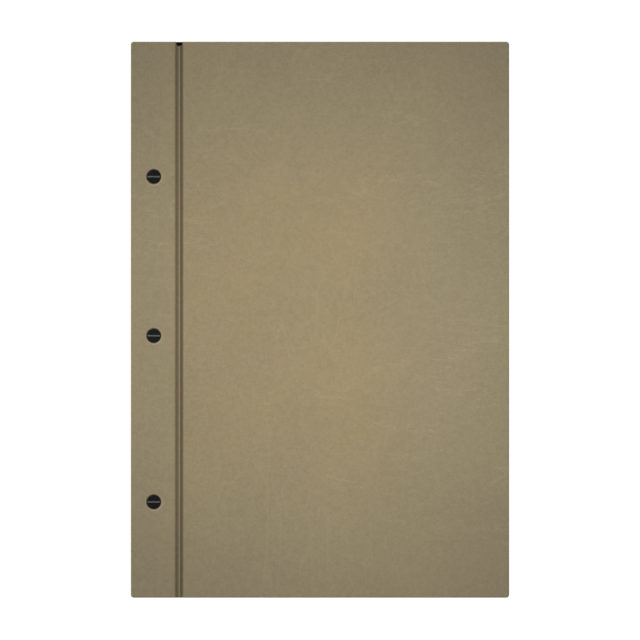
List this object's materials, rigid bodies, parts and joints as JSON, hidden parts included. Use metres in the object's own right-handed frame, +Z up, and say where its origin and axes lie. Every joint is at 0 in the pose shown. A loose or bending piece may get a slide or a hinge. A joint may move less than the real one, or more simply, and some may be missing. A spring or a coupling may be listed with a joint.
{
  "type": "scrapbook album",
  "caption": "Post-bound scrapbook album lying closed: two hinged leatherette covers round a block of card leaves, held by slotted screws in posts along the spine side.",
  "frame": {"origin": "middle of the closed album's footprint, at the surface that it lies on", "axes": "+Z up through the front cover, +Y from tail to head along the spine, +X from spine edge to fore-edge"},
  "size_m": [0.2506, 0.3682, 0.017],
  "materials": {
    "leatherette": "olive-brown leatherette, fine pebble grain, low sheen",
    "greyboard": "grey binder's board, unseen inside the covers",
    "hinge_cloth": "black book cloth, matt",
    "lining_paper": "black lining paper, matt",
    "leaf_card": "ivory card, uncoated",
    "blackened_metal": "black coated steel, soft gloss"
  },
  "bodies": {
    "root": {"front_strip_board": "greyboard", "front_strip_skin": "leatherette", "front_strip_liner": "lining_paper", "front_strip_cloth": "hinge_cloth", "rear_strip_board": "greyboard", "rear_strip_skin": "leatherette", "rear_strip_liner": "lining_paper", "rear_strip_cloth": "hinge_cloth", "leaf_01_stub": "leaf_card", "leaf_02_stub": "leaf_card", "leaf_03_stub": "leaf_card", "leaf_04_stub": "leaf_card", "leaf_05_stub": "leaf_card", "leaf_06_stub": "leaf_card", "leaf_07_stub": "leaf_card", "leaf_08_stub": "leaf_card", "leaf_09_stub": "leaf_card", "leaf_10_stub": "leaf_card", "leaf_11_stub": "leaf_card", "leaf_12_stub": "leaf_card", "post_head": "blackened_metal", "post_middle": "blackened_metal", "post_tail": "blackened_metal"},
    "front_hinge": {"front_hinge_bead": "leatherette", "front_hinge_cloth": "hinge_cloth"},
    "front_cover": {"front_panel_board": "greyboard", "front_panel_skin": "leatherette", "front_panel_liner": "lining_paper", "front_panel_cloth": "hinge_cloth"},
    "rear_hinge": {"rear_hinge_bead": "leatherette", "rear_hinge_cloth": "hinge_cloth"},
    "rear_cover": {"rear_panel_board": "greyboard", "rear_panel_skin": "leatherette", "rear_panel_liner": "lining_paper", "rear_panel_cloth": "hinge_cloth"},
    "leaf_01": {"leaf_01": "leaf_card"},
    "leaf_02": {"leaf_02": "leaf_card"},
    "leaf_03": {"leaf_03": "leaf_card"},
    "leaf_04": {"leaf_04": "leaf_card"},
    "leaf_05": {"leaf_05": "leaf_card"},
    "leaf_06": {"leaf_06": "leaf_card"},
    "leaf_07": {"leaf_07": "leaf_card"},
    "leaf_08": {"leaf_08": "leaf_card"},
    "leaf_09": {"leaf_09": "leaf_card"},
    "leaf_10": {"leaf_10": "leaf_card"},
    "leaf_11": {"leaf_11": "leaf_card"},
    "leaf_12": {"leaf_12": "leaf_card"},
    "screw_head": {"screw_head": "blackened_metal"},
    "screw_middle": {"screw_middle": "blackened_metal"},
    "screw_tail": {"screw_tail": "blackened_metal"}
  },
  "joints": [
    {"name": "front_cover_open", "type": "hinge", "parent": "root", "child": "front_cover", "pos_m": [-0.0932, 0, 0.01677], "axis": [0, -1, 0], "range_deg": [0, 170]},
    {"name": "front_hinge_fold", "type": "hinge", "parent": "root", "child": "front_hinge", "pos_m": [-0.0947, 0, 0.0154], "axis": [0, -1, 0], "range_deg": [0, 85]},
    {"name": "rear_cover_open", "type": "hinge", "parent": "root", "child": "rear_cover", "pos_m": [-0.0932, 0, 0.00023], "axis": [0, 1, 0], "range_deg": [0, 170]},
    {"name": "rear_hinge_fold", "type": "hinge", "parent": "root", "child": "rear_hinge", "pos_m": [-0.0947, 0, 0.0016], "axis": [0, 1, 0], "range_deg": [0, 85]},
    {"name": "leaf_01_turn", "type": "hinge", "parent": "root", "child": "leaf_01", "pos_m": [-0.0932, 0, 0.017], "axis": [0, -1, 0], "range_deg": [0, 167.59]},
    {"name": "leaf_02_turn", "type": "hinge", "parent": "root", "child": "leaf_02", "pos_m": [-0.0932, 0, 0.017], "axis": [0, -1, 0], "range_deg": [0, 160.31]},
    {"name": "leaf_03_turn", "type": "hinge", "parent": "root", "child": "leaf_03", "pos_m": [-0.0932, 0, 0.017], "axis": [0, -1, 0], "range_deg": [0, 148.68]},
    {"name": "leaf_04_turn", "type": "hinge", "parent": "root", "child": "leaf_04", "pos_m": [-0.0932, 0, 0.017], "axis": [0, -1, 0], "range_deg": [0, 133.33]},
    {"name": "leaf_05_turn", "type": "hinge", "parent": "root", "child": "leaf_05", "pos_m": [-0.0932, 0, 0.017], "axis": [0, -1, 0], "range_deg": [0, 115.19]},
    {"name": "leaf_06_turn", "type": "hinge", "parent": "root", "child": "leaf_06", "pos_m": [-0.0932, 0, 0.017], "axis": [0, -1, 0], "range_deg": [0, 95.3]},
    {"name": "leaf_07_turn", "type": "hinge", "parent": "root", "child": "leaf_07", "pos_m": [-0.0932, 0, 0.017], "axis": [0, -1, 0], "range_deg": [0, 74.8]},
    {"name": "leaf_08_turn", "type": "hinge", "parent": "root", "child": "leaf_08", "pos_m": [-0.0932, 0, 0.017], "axis": [0, -1, 0], "range_deg": [0, 54.91]},
    {"name": "leaf_09_turn", "type": "hinge", "parent": "root", "child": "leaf_09", "pos_m": [-0.0932, 0, 0.017], "axis": [0, -1, 0], "range_deg": [0, 36.77]},
    {"name": "leaf_10_turn", "type": "hinge", "parent": "root", "child": "leaf_10", "pos_m": [-0.0932, 0, 0.017], "axis": [0, -1, 0], "range_deg": [0, 21.42]},
    {"name": "leaf_11_turn", "type": "hinge", "parent": "root", "child": "leaf_11", "pos_m": [-0.0932, 0, 0.017], "axis": [0, -1, 0], "range_deg": [0, 9.79]},
    {"name": "leaf_12_turn", "type": "hinge", "parent": "root", "child": "leaf_12", "pos_m": [-0.0932, 0, 0.017], "axis": [0, -1, 0], "range_deg": [0, 2.52]},
    {"name": "screw_head_turn", "type": "hinge", "parent": "root", "child": "screw_head", "pos_m": [-0.1101, 0.0948, 0.017], "axis": [0, 0, 1], "continuous": true},
    {"name": "screw_middle_turn", "type": "hinge", "parent": "root", "child": "screw_middle", "pos_m": [-0.1101, -0.0106, 0.017], "axis": [0, 0, 1], "continuous": true},
    {"name": "screw_tail_turn", "type": "hinge", "parent": "root", "child": "screw_tail", "pos_m": [-0.1101, -0.1207, 0.017], "axis": [0, 0, 1], "continuous": true}
  ],
  "couplings": [
    {"joint": "front_hinge_fold", "follows": "front_cover_open", "ratio": 0.5},
    {"joint": "rear_hinge_fold", "follows": "rear_cover_open", "ratio": 0.5},
    {"joint": "leaf_01_turn", "follows": "front_cover_open", "ratio": 0.9855},
    {"joint": "leaf_02_turn", "follows": "front_cover_open", "ratio": 0.9427},
    {"joint": "leaf_03_turn", "follows": "front_cover_open", "ratio": 0.8743},
    {"joint": "leaf_04_turn", "follows": "front_cover_open", "ratio": 0.784},
    {"joint": "leaf_05_turn", "follows": "front_cover_open", "ratio": 0.6773},
    {"joint": "leaf_06_turn", "follows": "front_cover_open", "ratio": 0.5603},
    {"joint": "leaf_07_turn", "follows": "front_cover_open", "ratio": 0.4397},
    {"joint": "leaf_08_turn", "follows": "front_cover_open", "ratio": 0.3227},
    {"joint": "leaf_09_turn", "follows": "front_cover_open", "ratio": 0.216},
    {"joint": "leaf_10_turn", "follows": "front_cover_open", "ratio": 0.1257},
    {"joint": "leaf_11_turn", "follows": "front_cover_open", "ratio": 0.0573},
    {"joint": "leaf_12_turn", "follows": "front_cover_open", "ratio": 0.0145}
  ]
}
